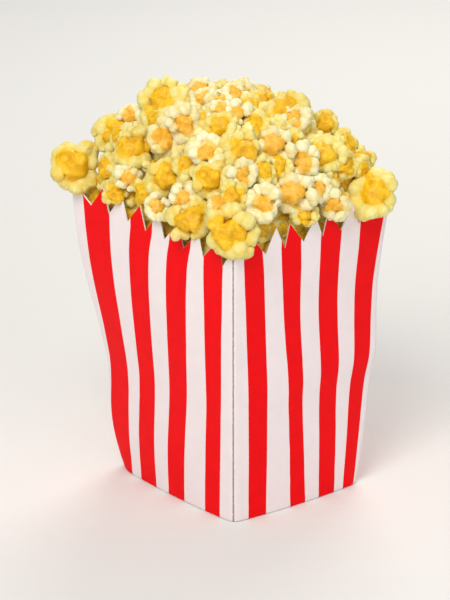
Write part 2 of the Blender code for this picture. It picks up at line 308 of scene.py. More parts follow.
class Bench:
    """One material under construction: its nodes, and its Principled shader."""

    def __init__(self, name: str, **constants: Any) -> None:
        """Start a material.

        Args:
            name: The material's name.
            **constants: Values of the shader's own sockets, with _ for a space in their names.
        """
        self.material = bpy.data.materials.new(name)
        self.material.use_nodes = True
        self.nodes = self.material.node_tree.nodes
        self.links = self.material.node_tree.links
        self.shader = self.nodes["Principled BSDF"]
        for key, value in constants.items():
            self.shader.inputs[key.replace("_", " ")].default_value = value

    def node(
        self,
        kind: str,
        settings: Mapping[str, Any] | None = None,
        sockets: Mapping[str | int, Any] | None = None,
    ) -> bpy.types.Node:
        """Add any node.

        Args:
            kind: The node's type.
            settings: Its properties, set first. "stops" fills a ramp with places and colours.
            sockets: Values, signals or sockets for its inputs, by name or number.

        Returns:
            The node.
        """
        made = self.nodes.new(kind)
        for key, value in (settings or {}).items():
            if key == "stops":
                self._fill_ramp(made.color_ramp, value)
            else:
                setattr(made, key, value)
        for key, value in (sockets or {}).items():
            self.feed(made.inputs[key], value)
        return made

    @staticmethod
    def _fill_ramp(ramp: bpy.types.ColorRamp, stops: Sequence[tuple[float, Colour]]) -> None:
        """Set a ramp's stops.

        Args:
            ramp: The ramp.
            stops: Places and colours, in order.
        """
        while len(ramp.elements) < len(stops):
            ramp.elements.new(1.0)
        for element, (place, colour) in zip(ramp.elements, stops):
            element.position = place
            element.color = (*colour, 1.0)

    def feed(self, target: bpy.types.NodeSocket, value: Any) -> None:
        """Fill an input.

        Args:
            target: The input.
            value: A value, colour, signal or socket.
        """
        if isinstance(value, Signal):
            self.links.new(value.socket, target)
        elif isinstance(value, bpy.types.NodeSocket):
            self.links.new(value, target)
        elif isinstance(value, tuple) and target.type == "RGBA":
            target.default_value = (*value, 1.0)
        else:
            target.default_value = value

    def signal(self, kind: str, settings: Any = None, sockets: Any = None, out: str | int = 0) -> Signal:
        """Add a node and return one of its outputs as a signal."""
        return Signal(self, self.node(kind, settings, sockets).outputs[out])

    def attribute(self, name: str) -> Signal:
        """A number stored on the piece's points."""
        return self.signal("ShaderNodeAttribute", {"attribute_name": name}, out="Fac")

    def place(self) -> bpy.types.NodeSocket:
        """Object coordinates, in metres."""
        return self.node("ShaderNodeTexCoord").outputs["Object"]

    def grain(self, size: float, detail: float = 2.0, where: Any = None, warp: float = 0.0) -> Signal:
        """Soft noise of a size in metres.

        Args:
            size: The width of its blobs.
            detail: How many finer octaves it has.
            where: The coordinates, or None for the object's own.
            warp: Distortion.

        Returns:
            The noise, about 0 to 1 round 0.5.
        """
        sockets = {"Vector": where or self.place(), "Scale": 1 / size, "Detail": detail, "Distortion": warp}
        return self.signal("ShaderNodeTexNoise", None, sockets, "Fac")

    def blend(self, share: Any, first: Any, second: Any, mode: str = "MIX") -> bpy.types.NodeSocket:
        """Mix two colours.

        Args:
            share: How much of the second.
            first: A colour or a colour socket.
            second: A colour or a colour socket.
            mode: Blender's name for the way of mixing.

        Returns:
            The mixed colour's socket.
        """
        settings = {"data_type": "RGBA", "blend_type": mode, "clamp_factor": True}
        made = self.node("ShaderNodeMix", settings)
        inputs = {socket.identifier: socket for socket in made.inputs}
        self.feed(inputs["Factor_Float"], share)
        self.feed(inputs["A_Color"], first)
        self.feed(inputs["B_Color"], second)
        return next(socket for socket in made.outputs if socket.identifier == "Result_Color")

    def relief(self, *layers: tuple[Signal, float]) -> None:
        """Bump the surface.

        Args:
            *layers: Heights from 0 to 1, each with its depth in metres.
        """
        normal = None
        for height, depth in layers:
            sockets = {"Height": height, "Distance": depth, "Strength": 1.0}
            if normal is not None:
                sockets["Normal"] = normal
            normal = self.node("ShaderNodeBump", None, sockets).outputs["Normal"]
        self.feed(self.shader.inputs["Normal"], normal)

    def finish(self, colour: Any, roughness: Any) -> bpy.types.Material:
        """Feed the shader's colour and roughness.

        Args:
            colour: A colour or a colour socket.
            roughness: A value or a signal.

        Returns:
            The material.
        """
        self.feed(self.shader.inputs["Base Color"], colour)
        self.feed(self.shader.inputs["Roughness"], roughness)
        return self.material


@dataclass(frozen=True)
class PrintedBoard:
    """Satin board printed with stripes, read from the piece's own map of stripe numbers."""

    red: Colour = linear(247, 10, 18)
    red_deep: Colour = linear(232, 9, 16)
    white: Colour = linear(243, 231, 232)
    scuffed: Colour = linear(230, 218, 217)
    score: Colour = linear(120, 106, 102)
    edge_softness: float = 0.012
    wobble: float = 0.03
    wobble_size: float = 45 * MM
    raggedness: float = 0.01
    ragged_size: float = 0.6 * MM
    fibre_size: float = 0.5 * MM
    fibre_depth: float = 0.012 * MM
    mottle_size: float = 9 * MM
    buckle_size: float = 14 * MM
    buckle_depth: float = 0.12 * MM
    rub_size: float = 1.6 * MM
    rub_level: float = 0.42

    def make(self) -> bpy.types.Material:
        """Build the material.

        Returns:
            The material.
        """
        bench = Bench("printed_board", Specular_IOR_Level=0.06)
        printed = bench.node("ShaderNodeUVMap", {"uv_map": Tub.PRINT_MAP}).outputs["UV"]
        number = bench.signal("ShaderNodeSeparateXYZ", None, {"Vector": printed}, "X")
        wander = (bench.grain(self.wobble_size, 1.0) - 0.5) * (2 * self.wobble)
        ragged = (bench.grain(self.ragged_size, 2.0) - 0.5) * (2 * self.raggedness)
        wave = ((number + wander + ragged) * math.pi).sine()
        is_red = (wave / (math.pi * self.edge_softness) + 0.5).held()
        mottle = bench.grain(self.mottle_size, 3.0).above(0.5, 0.7)
        fibre = bench.grain(self.fibre_size, 2.0)
        ink = bench.blend(mottle, self.red, self.red_deep)
        stock = bench.blend(mottle * 0.5, self.white, self.scuffed)
        colour = bench.blend(is_red, stock, ink)
        wear = bench.attribute(Tub.WEAR)
        rubbed = (wear * (bench.grain(self.rub_size, 3.0) + 0.3)).above(self.rub_level, 0.2)
        colour = bench.blend(rubbed * 0.8, colour, self.score)
        bench.relief((fibre, self.fibre_depth), (bench.grain(self.buckle_size, 2.0), self.buckle_depth))
        return bench.finish(colour, 0.5 + (fibre - 0.5) * 0.16 + rubbed * 0.2)


@dataclass(frozen=True)
class RawBoard:
    """The unprinted inside and the cut edges of the board."""

    pale: Colour = linear(243, 238, 230)
    fibre_tone: Colour = linear(222, 214, 202)
    fibre_size: float = 1.1 * MM
    fibre_depth: float = 0.02 * MM
    cloud_size: float = 11 * MM

    def make(self) -> bpy.types.Material:
        """Build the material.

        Returns:
            The material.
        """
        bench = Bench("raw_board", Specular_IOR_Level=0.25)
        fibres = bench.grain(self.fibre_size, 4.0, warp=1.5)
        cloudy = bench.grain(self.cloud_size, 2.0)
        colour = bench.blend((fibres * 0.7 + cloudy * 0.5).above(0.65, 0.5), self.pale, self.fibre_tone)
        bench.relief((fibres, self.fibre_depth))
        return bench.finish(colour, 0.78 + (fibres - 0.5) * 0.2)


class Column(NamedTuple):
    """One upright line of the wall's mesh."""

    face: int
    along: float
    top_along: float
    top_z: float


@dataclass(frozen=True)
class TubForm:
    """The tub's shape to the outside of its board, with the dents of a handled tub."""

    rim: tuple[float, float] = (0.1318, 0.1177)
    base: tuple[float, float] = (0.1058, 0.0945)
    rim_z: float = 0.1634
    board: float = 0.8 * MM
    stripes: int = 8
    tooth: float = 14.0 * MM
    corner_tooth: float = 11.0 * MM
    rim_ends_mm: tuple = ((5.5, -4.5), (-0.8, 1.8), (1.0, 0.5), (0.5, 5.0))
    first_valley: tuple = (1.06, 0.62, 0.5, 0.5)
    valley_pitch: tuple = (0.925, 0.965, 1.0, 0.96)
    tooth_lean: tuple = ((0.25, 0.25), (-0.3, 0.0), (0.25, 0.1), (-0.2, 0.1))
    corner_signs: tuple = ((-1, -1), (1, -1), (1, 1), (-1, 1))
    corner_sway: tuple = (
        ((0.0, 0.0), (0.18, 0.4), (0.41, -1.5), (0.53, 0.3), (0.76, 5.3), (0.9, 6.8), (1.1, 6.2)),
        ((0.0, 0.0), (1.1, 0.0)),
        ((0.0, 2.6), (0.2, 2.4), (0.4, 1.8), (0.5, 2.9), (0.66, 0.2), (0.8, -1.4), (1.1, -0.6)),
        ((0.0, 0.0), (0.5, 1.0), (1.1, 0.0)),
    )
    outward: tuple = ((0, -1), (1, 0), (0, 1), (-1, 0))
    belly: float = 2.5 * MM
    rim_belly: float = 0.8 * MM
    fold_radius: float = 2.0 * MM
    least_radius: float = 0.5 * MM
    base_rounding_mm: tuple = (12.0, 4.0, 6.0, 5.0)
    rounding_share: float = 0.22
    pushed_corner: Corner = Corner.RIGHT
    foot_push: tuple[float, float] = (4.0 * MM, -3.4 * MM)
    foot_push_share: float = 0.5
    foot_inset: float = 2.64 * MM

    def corner_point(self, corner: int, share: float, inset: float) -> Vector:
        """The sharp corner of the plan.

        Args:
            corner: The corner's number.
            share: The share of the rim's height.
            inset: How far in from the outside of the board.

        Returns:
            The point in plan.
        """
        sign = Vector(self.corner_signs[corner % FACES])
        half = Vector([mix(low, high, share) for low, high in zip(self.base, self.rim)]) / 2
        sway = smooth_curve(self.corner_sway[corner % FACES], share) * MM / math.sqrt(2)
        point = sign * half + sign * sway - sign * inset
        if corner % FACES == self.pushed_corner:
            point += Vector(self.foot_push) * max(0.0, 1 - share / self.foot_push_share) ** 2
        return point

    def corner_pull(self, corner: int, share: float, distance: float, inset: float) -> Vector:
        """How the fold at a corner draws in a point.

        Args:
            corner: The corner's number.
            share: The share of the rim's height.
            distance: How far the point lies from the corner along its face.
            inset: How far in from the outside of the board.

        Returns:
            The move in plan.
        """
        fade = max(0.0, 1 - share / self.rounding_share) ** 2
        radius = mix(self.fold_radius, self.base_rounding_mm[corner % FACES] * MM, fade) - inset
        depth = (math.sqrt(2) - 1) * max(radius, self.least_radius)
        reach = 2 * math.sqrt(2) * depth
        if distance >= reach:
            return Vector((0, 0))
        inward = -Vector(self.corner_signs[corner % FACES]) / math.sqrt(2)
        return inward * depth * (1 - distance / reach) ** 2

    def wall_point(self, face: int, along: float, z: float, inset: float = 0.0) -> Vector:
        """A point of the wall.

        Args:
            face: The face's number.
            along: 0 to 1 between the face's two corners.
            z: The height.
            inset: How far in from the outside of the board.

        Returns:
            The point.
        """
        share = z / self.rim_z
        start = self.corner_point(face, share, inset)
        end = self.corner_point(face + 1, share, inset)
        width = (end - start).length
        belly = mix(self.belly, self.rim_belly, min(max(share, 0.0), 1.0) ** 3)
        point = start.lerp(end, along) + Vector(self.outward[face]) * belly * 4 * along * (1 - along)
        point += self.corner_pull(face, share, along * width, inset)
        point += self.corner_pull(face + 1, share, (1 - along) * width, inset)
        return Vector((point.x, point.y, z))

    def rim_level(self, face: int, along: float) -> float:
        """The height of the zigzag's valleys."""
        start, end = self.rim_ends_mm[face]
        return self.rim_z + mix(start, end, along) * MM

    def corner_tip(self, corner: int) -> float:
        """The height of the tooth that wraps a corner."""
        before, after = (corner - 1) % FACES, corner % FACES
        return (self.rim_level(after, 0.0) + self.rim_level(before, 1.0)) / 2 + self.corner_tooth

    def valley_place(self, face: int, number: float) -> float:
        """How far along its face a valley of the zigzag lies."""
        return (self.first_valley[face] + number * self.valley_pitch[face]) / self.stripes

    def zigzag(self, face: int) -> list[tuple[float, float, float]]:
        """The turning points of one face's cut edge.

        Args:
            face: The face's number.

        Returns:
            For each, its place along the face at the foot, the same at the top, and its height.
        """
        points = [(0.0, 0.0, self.corner_tip(face))]
        for number in range(self.stripes):
            valley = self.valley_place(face, number)
            points.append((valley, valley, self.rim_level(face, valley)))
            if number < self.stripes - 1:
                middle = self.valley_place(face, number + 0.5)
                tip = middle + self.tooth_lean[face][number % 2] / self.stripes
                points.append((middle, tip, self.rim_level(face, tip) + self.tooth))
        points.append((1.0, 1.0, self.corner_tip(face + 1)))
        return points


@dataclass
class Tub:
    """The folded and printed tub."""

    PRINT_MAP = "Print"
    WEAR = "wear"

    form: TubForm = field(default_factory=TubForm)
    # How far the printed edges stray from the teeth, in stripes, at the foot, halfway up and at the rim
    stray: tuple = (
        (
            (-1.35, -0.75, -1.03, -0.83, -0.9, -0.75, -0.33, -0.35),
            (-0.68, -0.34, -0.47, -0.38, -0.38, -0.25, -0.09, -0.2),
            (-0.4, 0.0, 0.12, 0.25, 0.18, 0.24, 0.02, 0.0),
        ),
        (
            (0.27, 0.32, 0.85, 0.82, 0.71, 0.8, 0.4, 0.2),
            (0.15, 0.16, 0.31, 0.15, 0.18, 0.26, 0.17, 0.16),
            (-0.1, -0.1, -0.2, -0.1, -0.1, 0.03, 0.12, 0.36),
        ),
        (
            (-0.1, 0.25, 0.3, -0.1, -0.3, 0.1, 0.25, 0.1),
            (-0.05, 0.12, 0.14, -0.04, -0.13, 0.05, 0.1, 0.05),
            (0.0, 0.0, 0.0, 0.0, 0.0, 0.0, 0.0, 0.0),
        ),
        (
            (0.2, -0.15, -0.3, 0.1, 0.3, 0.2, -0.1, -0.2),
            (0.1, -0.07, -0.14, 0.05, 0.14, 0.1, -0.05, -0.1),
            (0.0, 0.0, 0.0, 0.0, 0.0, 0.0, 0.0, 0.0),
        ),
    )
    fold_fractions: tuple = (0.0, 0.008, 0.018, 0.032, 0.05, 0.08, 0.13, 0.22, 0.38, 0.58, 0.79)
    tooth_columns: int = 4
    wall_rows: int = 46
    tooth_rows: int = 9
    tooth_start: float = 0.92
    foot_radius: float = 1.2 * MM
    foot_steps: int = 4
    edge_round: float = 0.12 * MM
    seam_face: Corner = Corner.RIGHT
    seam_width: float = 1.1 * MM
    seam_depth: float = 0.35 * MM
    ripple: float = 0.28 * MM
    ripple_size: float = 38 * MM
    ripple_stretch: float = 0.6
    ripple_origin: tuple = (7, 3, 5)
    # The share of a face's width, and of the rim's height, over which the ripple sets in
    ripple_onset: tuple[float, float] = (0.12, 0.15)
    # How worn a fold is at the foot and at the rim
    fold_wear: tuple[float, float] = (1.0, 0.85)
    fold_wear_width: float = 0.6 * MM
    foot_wear: float = 0.42
    foot_wear_height: float = 1.0 * MM
    sharp_degrees: float = 50

    def columns(self) -> list[Column]:
        """The upright lines of the whole wall's mesh.

        Returns:
            The lines in order round the tub, close together beside the folds.
        """
        lines = []
        for face in range(FACES):
            turns = self.form.zigzag(face)
            for index, (start, end) in enumerate(zip(turns, turns[1:])):
                if index == 0:
                    fractions = self.fold_fractions
                elif index == len(turns) - 2:
                    fractions = [0.0] + [1 - f for f in self.fold_fractions[:0:-1]]
                else:
                    fractions = [i / self.tooth_columns for i in range(self.tooth_columns)]
                for f in fractions:
                    lines.append(Column(face, *(mix(a, b, f) for a, b in zip(start, end))))
        return lines

    def depth(self, line: Column, share: float) -> float:
        """The extra inset of the outside beside the back corner, where the lap is glued under.

        Args:
            line: The upright line.
            share: The share of the rim's height.

        Returns:
            The inset.
        """
        width = mix(self.form.base[0], self.form.rim[0], share)
        is_lap = line.face == self.seam_face and (1 - line.along) * width < self.seam_width
        return self.seam_depth if is_lap else 0.0

    def point(self, line: Column, level: float, inset: float) -> Vector:
        """A point on one upright line.

        Args:
            line: The line.
            level: 0 at the foot, 1 where the teeth start, 2 at the cut edge.
            inset: How far in from the outside of the board.

        Returns:
            The point, with the board's slight ripple.
        """
        start_z = self.form.rim_z * self.tooth_start
        if level <= 1:
            along, z = line.along, mix(self.foot_radius, start_z, level)
        else:
            along, z = mix(line.along, line.top_along, level - 1), mix(start_z, line.top_z, level - 1)
        place = self.form.wall_point(line.face, along, z, inset)
        return place + self.rippled(line.face, along, place)

    def rippled(self, face: int, along: float, place: Vector) -> Vector:
        """The board's slight ripple, which dies away at the folds and the foot.

        Args:
            face: The face's number.
            along: 0 to 1 between the face's two corners.
            place: The point before the ripple.

        Returns:
            The move.
        """
        stretched = Vector((place.x, place.y, place.z * self.ripple_stretch)) / self.ripple_size
        swing = noise.noise(stretched + Vector(self.ripple_origin))
        across, up = self.ripple_onset
        hold = ease(min(along, 1 - along) / across) * ease(place.z / (up * self.form.rim_z))
        outward = Vector(self.form.outward[face]).to_3d()
        return outward * swing * self.ripple * hold

    def levels(self) -> list[float]:
        """The mesh's rows, from the foot to the cut edge."""
        wall = [i / self.wall_rows for i in range(self.wall_rows + 1)]
        return wall + [1 + (i + 1) / self.tooth_rows for i in range(self.tooth_rows)]

    def boundaries(self, share: float) -> list[float]:
        """The printed edges round the tub at a height.

        Args:
            share: The share of the rim's height.

        Returns:
            Their places in stripes, counted from corner 0, every other one the start of red.
        """
        s = min(share, 1.0)
        count = self.form.stripes
        foot, middle, rim = np.array(self.stray).transpose(1, 0, 2).reshape(3, -1)
        stray = foot * (1 - s) * (1 - 2 * s) + middle * 4 * s * (1 - s) + rim * s * (2 * s - 1)
        valleys = [self.form.valley_place(face, k) for face in range(FACES) for k in range(count)]
        return list((np.arange(FACES * count) // count + valleys) * count + stray)

    def stripe_number(self, face: int, along: float, share: float) -> float:
        """Where a point lies among the printed edges.

        Args:
            face: The face's number.
            along: 0 to 1 between the face's two corners.
            share: The share of the rim's height.

        Returns:
            The number, with red from each even number to the next.
        """
        total = FACES * self.form.stripes
        edges = self.boundaries(share)
        edges = [edges[-1] - total, *edges, edges[0] + total, edges[1] + total]
        place = (face + along) * self.form.stripes
        return float(np.interp(place, edges, range(-1, len(edges) - 1)))

    def build(self) -> bpy.types.Object:
        """Make the board of the wall: outside, cut edge, inside and the fold at the foot.

        Returns:
            The finished piece.
        """
        bm = bmesh.new()
        lines = self.columns()
        levels = self.levels()
        board, turn_in = self.form.board, self.form.foot_inset
        outer, inner = [], []
        for level in levels:
            drop = Vector((0, 0, -self.edge_round if level == levels[-1] else 0.0))
            share = min(level, 1.0)
            outer.append([bm.verts.new(self.point(c, level, self.depth(c, share)) + drop) for c in lines])
            inner.append([bm.verts.new(self.point(c, level, board) + drop) for c in lines])
        insets = (self.edge_round, board - self.edge_round)
        edge = [[bm.verts.new(self.point(c, levels[-1], inset)) for c in lines] for inset in insets]
        turns = [math.pi / 2 * i / self.foot_steps for i in range(self.foot_steps)]
        bend = [(self.foot_radius * (1 - math.cos(t)), self.foot_radius * (1 - math.sin(t))) for t in turns]
        *foot, under, floor = [
            [bm.verts.new(self.form.wall_point(c.face, c.along, z, inset)) for c in lines]
            for z, inset in (*bend, (0.0, turn_in), (self.foot_radius, turn_in))
        ]
        printed = [under, *foot, *outer]
        skin(bm, printed, BoardSlot.PRINTED)
        skin(bm, [outer[-1], *edge, inner[-1]], BoardSlot.RAW)
        skin(bm, [*inner[::-1], floor, under], BoardSlot.RAW)
        self.print_stripes(bm, printed, lines)
        wall = link_mesh(bm, "tub_wall")
        self.mark_wear(wall)
        wall.data.materials.append(PrintedBoard().make())
        wall.data.materials.append(RawBoard().make())
        wall.data.set_sharp_from_angle(angle=math.radians(self.sharp_degrees))
        return wall

    def print_stripes(self, bm: bmesh.types.BMesh, loops: list[Loop], lines: list[Column]) -> None:
        """Write each printed corner's stripe number and height into the map.

        Args:
            bm: The wall's mesh.
            loops: The rows of points on the printed side.
            lines: The upright line that each point of a row lies on.
        """
        uv = bm.loops.layers.uv.new(self.PRINT_MAP)
        total = FACES * self.form.stripes
        number = {}
        for loop in loops:
            for vert, line in zip(loop, lines):
                number[vert] = self.stripe_number(line.face, line.along, vert.co.z / self.form.rim_z)
        first = {loop[0] for loop in loops}
        last = {loop[-1] for loop in loops}
        for made in bm.faces:
            if not all(corner.vert in number for corner in made.loops):
                continue
            wraps = any(corner.vert in last for corner in made.loops)
            for corner in made.loops:
                extra = total if wraps and corner.vert in first else 0
                corner[uv].uv = (number[corner.vert] + extra, corner.vert.co.z)

    def mark_wear(self, wall: bpy.types.Object) -> None:
        """Store how worn each point is, from 0 to 1: at the folds and round the foot.

        Args:
            wall: The wall.
        """
        places = read_points(wall.data)
        wear = np.zeros(len(places))
        for index, (x, y, z) in enumerate(places):
            folds = [self.form.wall_point(corner, 0.0, z) for corner in Corner]
            gap = min(math.hypot(x - fold.x, y - fold.y) for fold in folds)
            at_fold = math.exp(-((gap / self.fold_wear_width) ** 2))
            at_foot = math.exp(-((z / self.foot_wear_height) ** 2))
            fold_wear = mix(*self.fold_wear, z / self.form.rim_z)
            wear[index] = max(at_fold * fold_wear, at_foot * self.foot_wear)
        write_points(wall.data, self.WEAR, wear)


@dataclass
class TubFoot:
    """The four flaps folded under the tub: two outer ones that nearly meet, two inner ones above."""

    form: TubForm = field(default_factory=TubForm)
    thickness: float = 0.6 * MM
    steps: int = 24
    # How far the outer and the inner flaps reach across, and how far their sides slant in
    reach: tuple[float, float] = (0.494, 0.33)
    slant: tuple[float, float] = (0.09, 0.14)
    sag: float = 0.15 * MM
    sharp_degrees: float = 50

    def spot(self, u: float, v: float, z: float) -> Vector:
        """A point under the tub.

        Args:
            u: 0 to 1 from face 3 to face 1.
            v: 0 to 1 from face 0 to face 2.
            z: The height.

        Returns:
            The point, inside the fold that runs round the foot.
        """
        edges = [(0, u), (1, v), (2, 1 - u), (3, 1 - v)]
        front, right, back, left = (self.form.wall_point(f, a, 0.0, self.form.foot_inset) for f, a in edges)
        a, b, c, d = (self.form.wall_point(corner, 0.0, 0.0, self.form.foot_inset) for corner in Corner)
        ruled = front.lerp(back, v) + left.lerp(right, u)
        flat = a.lerp(b, u).lerp(d.lerp(c, u), v)
        place = ruled - flat
        return Vector((place.x, place.y, z))

    def sheet(self, bm: bmesh.types.BMesh, side: int, base: float) -> list[Loop]:
        """The points of one side of a flap.

        Args:
            bm: The mesh.
            side: The face that the flap is folded in from.
            base: The height at the fold.

        Returns:
            Rows of points, from the fold inwards.
        """
        reach, slant = self.reach[side % 2], self.slant[side % 2]
        rows = []
        for i in range(self.steps + 1):
            out = reach * i / self.steps
            trim = slant * i / self.steps
            z = base + self.sag * math.sin(math.pi / 2 * i / self.steps)
            row = []
            for j in range(self.steps + 1):
                along = mix(trim, 1 - trim, j / self.steps)
                u, v = ((along, out), (1 - out, along), (1 - along, 1 - out), (out, 1 - along))[side]
                row.append(bm.verts.new(self.spot(u, v, z)))
            rows.append(row)
        return rows

    def flap(self, bm: bmesh.types.BMesh, side: int) -> None:
        """One flap, two sheets and the edge between them: faces 0 and 2 have the outer ones.

        Args:
            bm: The mesh.
            side: The face that the flap is folded in from.
        """
        base = self.thickness * (side % 2)
        below, above = (self.sheet(bm, side, z) for z in (base, base + self.thickness))
        for i in range(self.steps):
            for j in range(self.steps):
                bm.faces.new((below[i][j], below[i + 1][j], below[i + 1][j + 1], below[i][j + 1]))
                bm.faces.new((above[i][j], above[i][j + 1], above[i + 1][j + 1], above[i + 1][j]))
        for low, high in zip(self.border(below), self.border(above)):
            bm.faces.new((low[0], low[1], high[1], high[0]))

    @staticmethod
    def border(rows: list[Loop]) -> list[tuple[bmesh.types.BMVert, bmesh.types.BMVert]]:
        """The edges round a sheet of points.

        Args:
            rows: The sheet.

        Returns:
            The two ends of each edge, in order round the sheet.
        """
        far, near = [row[-1] for row in rows[:-1]], [row[0] for row in rows[:0:-1]]
        ring = rows[0][:-1] + far + rows[-1][:0:-1] + near
        return list(zip(ring, ring[1:] + ring[:1]))

    def build(self) -> bpy.types.Object:
        """Make the four flaps.

        Returns:
            The finished piece.
        """
        bm = bmesh.new()
        for side in Corner:
            self.flap(bm, side)
        foot = link_mesh(bm, "tub_foot")
        dress(foot, RawBoard().make())
        foot.data.set_sharp_from_angle(angle=math.radians(self.sharp_degrees))
        return foot


class Flake(NamedTuple):
    """Where one popped flake lies in the heap."""

    kind: Kind
    centre: Vector
    normal: Vector
    radius: float


@dataclass(frozen=True)
class HeapForm:
    """The dome that the flakes lie on, and the rule that lays them, as the solid has them."""

    front_bearing: float = -41.0
    half_x: float = 0.0655
    half_y: float = 0.0585
    base: float = 0.178
    rise: float = 0.052
    power: float = 3.0
    peak_squareness: float = 2.2
    rim_squareness: float = 12.0
    squaring_power: int = 4
    peak_shift: tuple[float, float] = (-5.8 * MM, -6.6 * MM)
    left_bearing: float = -90.0
    left_flare: float = 6.0 * MM
    left_flare_width: float = 22.0
    reach_step: float = 0.02
    bearing_step: float = 2.0
    butter_tiers: tuple = (
        (0.99, ((-98, 16.0), (-75, 8.0), (-20, 12.5), (-2, 16.5), (34, 8.0), (74, 15.5), (106, 11.5))),
        (0.88, ((-110, 8.5), (-42, 11.5), (0, 9.0), (84, 8.5))),
        (0.79, ((-100, 12.5), (-76, 12.5), (-28, 8.0), (28, 8.0), (64, 11.5), (86, 8.5))),
        (0.68, ((6, 11.5), (88, 8.5))),
        (0.50, ((-96, 13.5), (-112, 12.0), (66, 13.0))),
    )
    white_tiers: tuple = (
        (0.99, ((-42, 7.5), (52, 8.0))),
        (0.92, ((-70, 8.0), (-24, 8.0), (-4, 7.5), (10, 10.0), (30, 11.0), (46, 7.0))),
        (0.80, ((4, 7.5), (44, 10.0))),
        (0.70, ((-100, 8.0), (-54, 10.5), (-12, 10.0), (28, 10.0))),
        (0.57, ((-42, 10.0), (62, 8.0))),
        (0.42, ((-6, 6.5), (12, 6.0))),
        (0.30, ((-36, 7.0), (-8, 5.0))),
        (0.18, ((-92, 6.5), (66, 7.0), (30, 7.0))),
    )
    butter_lift: float = 0.3
    white_lift: float = 5.0 * MM
    seed: int = 11
    golden_angle: float = 137.508
    filler_tries: int = 420
    filler_reach: float = 0.97
    butter_radii_mm: tuple[float, float] = (8.5, 13.5)
    white_radii_mm: tuple[float, float] = (6.5, 9.5)
    white_share: float = 0.42
    peak_slimming: float = 0.35
    room_alike: float = 0.85
    room_mixed: float = 0.62

    def front(self, rise: float = 0.0) -> Vector:
        """The way from the tub towards the picture's front, raised by a share."""
        angle = math.radians(self.front_bearing)
        return Vector((math.cos(angle), math.sin(angle), rise)).normalized()

    def plan(self, bearing: float, reach: float) -> Vector:
        """A point of the dome in plan.

        Args:
            bearing: Degrees from the front corner.
            reach: 0 at the peak, 1 at the rim.

        Returns:
            The point.
        """
        angle = math.radians(self.front_bearing + bearing)
        power = self.peak_squareness + self.rim_squareness * min(reach, 1.0) ** self.squaring_power
        across = Vector((math.cos(angle), math.sin(angle)))
        ratio = abs(across.x / self.half_x) ** power + abs(across.y / self.half_y) ** power
        spread = ratio ** (-1 / power)
        off_left = (bearing - self.left_bearing + 180) % 360 - 180
        flare = self.left_flare * math.exp(-((off_left / self.left_flare_width) ** 2)) * reach**3
        return across * (spread * reach + flare) + Vector(self.peak_shift) * (1 - reach)

    def point(self, bearing: float, reach: float) -> Vector:
        """A point on the dome."""
        plan = self.plan(bearing, reach)
        return Vector((plan.x, plan.y, self.base + self.rise * (1 - reach**self.power)))

    def normal(self, bearing: float, reach: float) -> Vector:
        """The way that the dome faces at a place.

        Args:
            bearing: Degrees from the front corner.
            reach: 0 at the peak, 1 at the rim.

        Returns:
            The unit way out of the dome.
        """
        inner = self.point(bearing, reach - self.reach_step)
        outer = self.point(bearing, reach + self.reach_step)
        before = self.point(bearing - self.bearing_step, reach)
        after = self.point(bearing + self.bearing_step, reach)
        return (outer - inner).cross(after - before).normalized()

    def place(self, kind: Kind, bearing: float, reach: float, radius_mm: float) -> Flake:
        """A flake on the dome: buttery ones sunk in by their size, white ones on top.

        Args:
            kind: The kind of flake.
            bearing: Degrees from the front corner.
            reach: 0 at the peak, 1 at the rim.
            radius_mm: Its radius in millimetres.

        Returns:
            The flake.
        """
        radius = radius_mm * MM
        normal = self.normal(bearing, reach)
        lift = self.butter_lift * radius if kind is Kind.BUTTER else self.white_lift
        return Flake(kind, self.point(bearing, reach) + normal * lift, normal, radius)

    def has_room(self, flake: Flake, others: list[Flake]) -> bool:
        """Whether a filler keeps its distance from the flakes already laid.

        Args:
            flake: The filler.
            others: The flakes already laid.

        Returns:
            True where it may be laid.
        """
        for other in others:
            room = self.room_alike if flake.kind is other.kind else self.room_mixed
            if (flake.centre - other.centre).length < room * (flake.radius + other.radius):
                return False
        return True

    def chosen(self) -> list[Flake]:
        """Lay the flakes that are listed one by one.

        Returns:
            The flakes, kind by kind and tier by tier.
        """
        return [
            self.place(kind, bearing, reach, radius)
            for kind, tiers in ((Kind.BUTTER, self.butter_tiers), (Kind.WHITE, self.white_tiers))
            for reach, tier in tiers
            for bearing, radius in tier
        ]

    def lay(self) -> list[Flake]:
        """Lay all the flakes that show.

        Returns:
            The chosen ones, then fillers where there is room.
        """
        flakes = self.chosen()
        draw = random.Random(self.seed)
        for i in range(self.filler_tries):
            kind = Kind.BUTTER if draw.random() > self.white_share else Kind.WHITE
            radii = self.butter_radii_mm if kind is Kind.BUTTER else self.white_radii_mm
            reach = math.sqrt((i + 0.5) / self.filler_tries) * self.filler_reach
            radius = draw.uniform(*radii) * (1 - self.peak_slimming * (1 - reach))
            flake = self.place(kind, i * self.golden_angle, reach, radius)
            if self.has_room(flake, flakes):
                flakes.append(flake)
        return flakes


